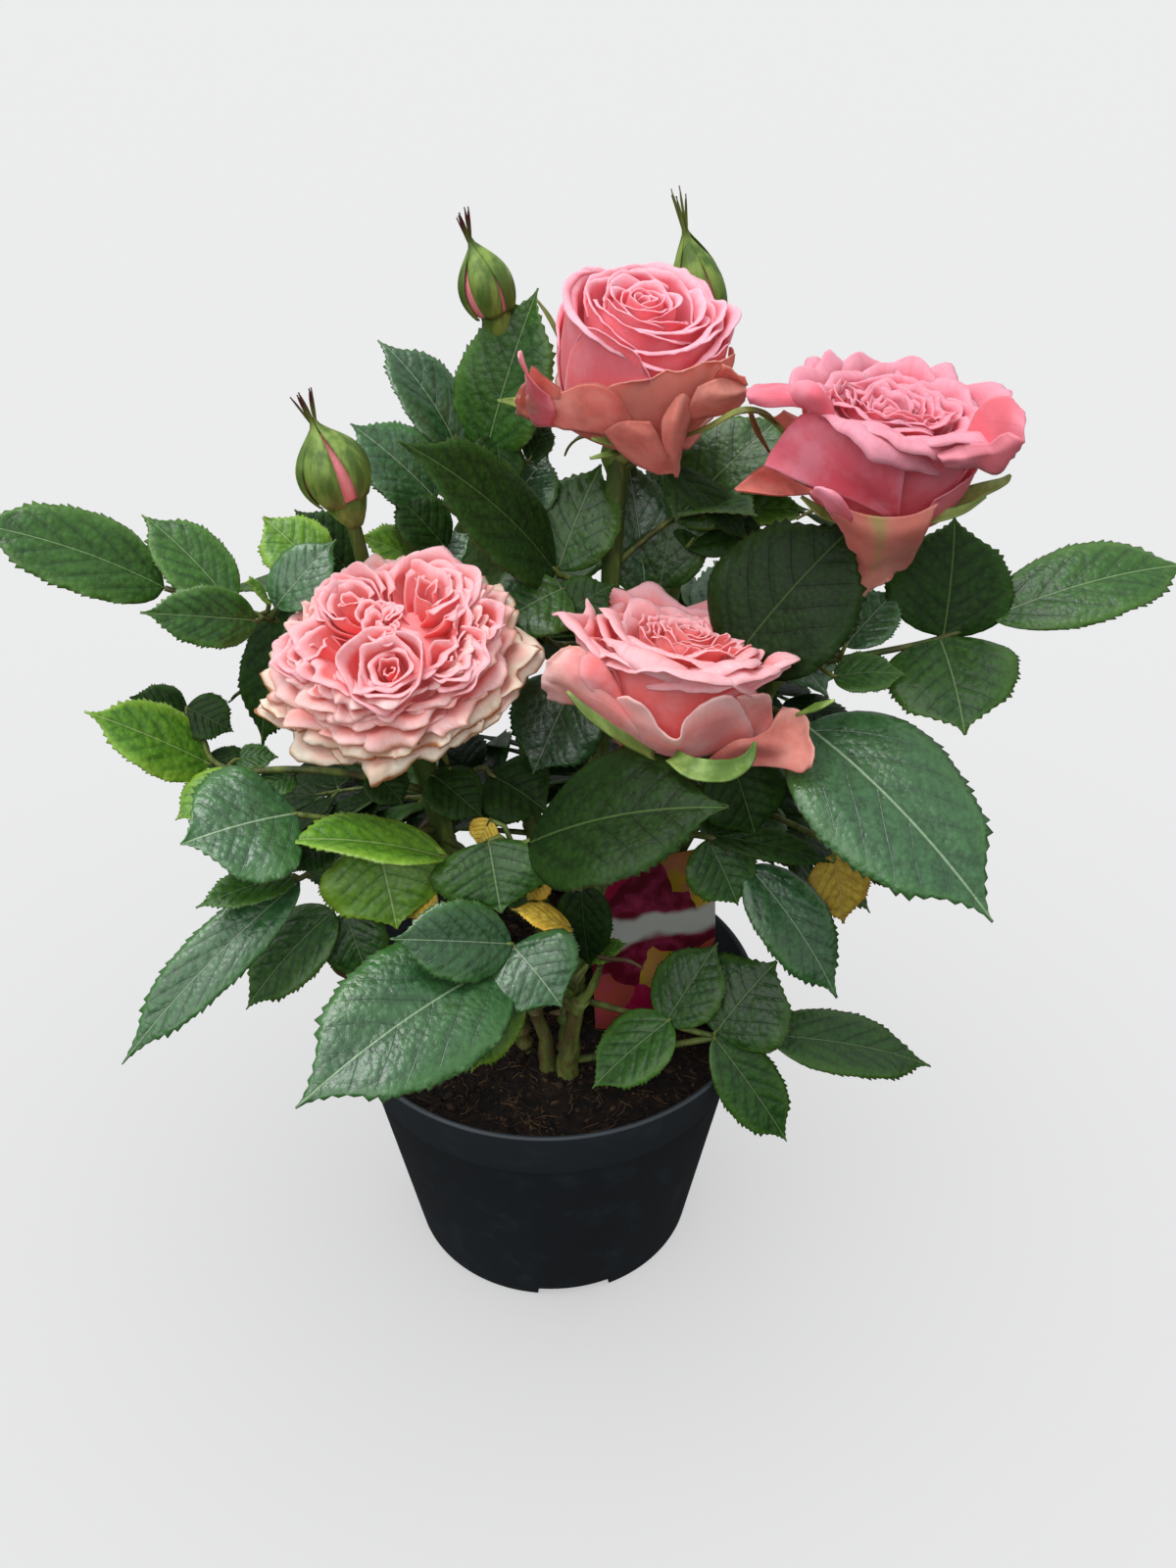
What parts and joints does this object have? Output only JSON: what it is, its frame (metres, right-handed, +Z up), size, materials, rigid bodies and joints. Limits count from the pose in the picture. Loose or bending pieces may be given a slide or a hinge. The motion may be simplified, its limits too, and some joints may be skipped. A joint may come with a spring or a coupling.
{
  "type": "potted rose bush",
  "caption": "Flowering rose bush in a round tapered nursery pot, with full pink and cream blooms, pointed buds, thorny canes, serrated leaves and a plant label in the potting mix.",
  "frame": {"origin": "centre of the pot's flat underside", "axes": "+Z up, -Y towards the side the front blooms face, +X to the right seen from there"},
  "size_m": [0.324, 0.229, 0.3153],
  "materials": {
    "pot_plastic": "satin",
    "potting_mix": "matte",
    "tag_plastic": "satin",
    "cane_skin": "satin",
    "petals": "soft",
    "bud_skin": "satin",
    "leaves": "satin"
  },
  "bodies": {
    "root": {"pot": "pot_plastic", "potting_mix": "potting_mix", "plant_tag": "tag_plastic", "cane_front_bloom": "cane_skin", "cane_left_bloom": "cane_skin", "cane_right_bloom": "cane_skin", "cane_top_bloom": "cane_skin", "cane_left_bud": "cane_skin", "cane_back_bud": "cane_skin", "cane_back_right_bud": "cane_skin", "bloom_top": "petals", "bloom_right": "petals", "bloom_left": "petals", "bloom_front": "petals", "bud_left": "bud_skin", "bud_back": "bud_skin", "bud_back_right": "bud_skin", "foliage_far_left": "leaves", "foliage_far_right": "leaves", "foliage_left": "leaves", "foliage_low_left": "leaves", "foliage_lower_left": "leaves", "foliage_front_left": "leaves", "foliage_front": "leaves", "foliage_low_right": "leaves", "foliage_right": "leaves", "foliage_big_right": "leaves", "foliage_under_right_bloom": "leaves", "foliage_top_left": "leaves", "foliage_upper_left": "leaves", "foliage_centre": "leaves", "foliage_top_right": "leaves", "foliage_back_left": "leaves", "foliage_back": "leaves", "foliage_back_right": "leaves", "foliage_back_low_left": "leaves", "foliage_back_low": "leaves", "foliage_back_low_right": "leaves", "foliage_left_inner": "leaves", "foliage_right_inner": "leaves"}
  },
  "joints": []
}
